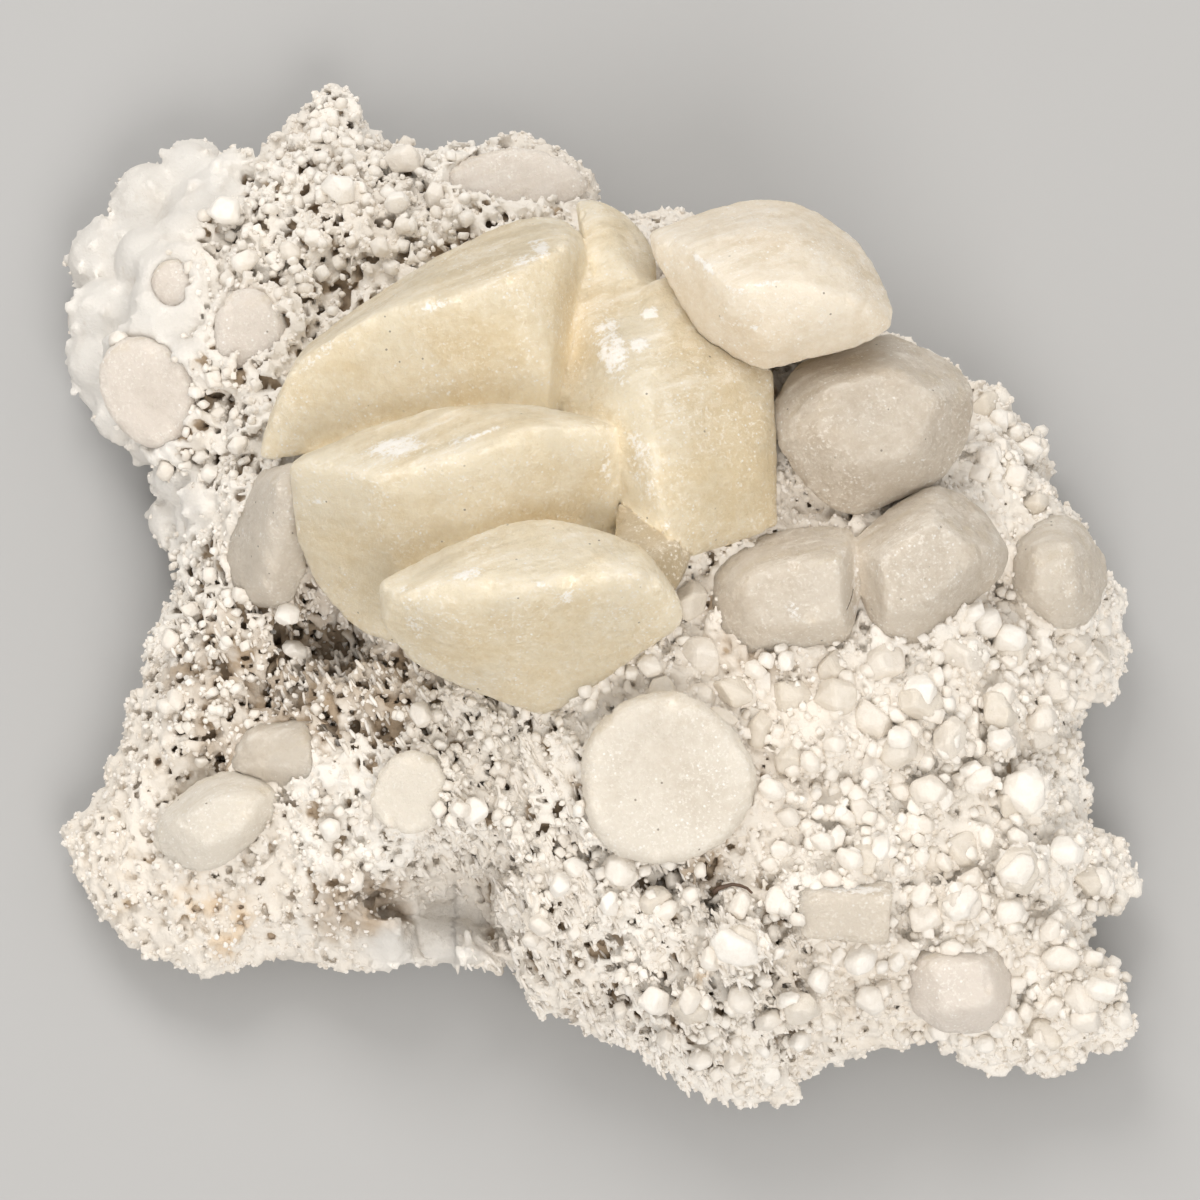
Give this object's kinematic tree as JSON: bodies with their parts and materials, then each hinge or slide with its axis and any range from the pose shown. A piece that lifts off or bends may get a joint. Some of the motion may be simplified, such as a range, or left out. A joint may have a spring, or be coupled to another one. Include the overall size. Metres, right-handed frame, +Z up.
{
  "type": "yellow calcite specimen on matrix",
  "caption": "Cabinet mineral specimen: translucent honey and cream calcite crystals, grown together, on a white porous matrix with a flat broken back.",
  "frame": {"origin": "on the resting face, below the middle of the specimen's box", "axes": "+Z up out of the display side, +X the display side's right and the longest side, +Y its top"},
  "size_m": [0.1088, 0.1058, 0.0463],
  "materials": {
    "white_matrix": "chalky, porous white druse with brown shadows in the pits",
    "honey_calcite": "translucent honey crystal, satin faces, frosted upper faces",
    "cream_calcite": "translucent cream crystal with matt, finely textured faces",
    "pale_calcite": "pale translucent crystal with matt faces",
    "cloudy_calcite": "cloudy white crystal, rounded and matt"
  },
  "bodies": {
    "root": {"matrix": "white_matrix", "honey_cluster": "honey_calcite", "cream_crystal_upper_right": "cream_calcite", "pale_pair_right": "pale_calcite", "pale_crystal_right": "pale_calcite", "pale_crystal_rim": "pale_calcite", "pale_crystal_left": "pale_calcite", "round_crystal_front": "cream_calcite", "oval_crystal_front": "cream_calcite", "lens_crystal_left": "cream_calcite", "clear_crystal_left": "pale_calcite", "cleaved_crystal": "pale_calcite", "cloudy_crystal_lower_right": "cloudy_calcite", "lens_crystal_upper_left": "cloudy_calcite", "lens_crystal_rim_left": "cloudy_calcite", "lens_crystal_small_left": "cloudy_calcite", "lens_crystal_top": "cloudy_calcite"}
  },
  "joints": []
}
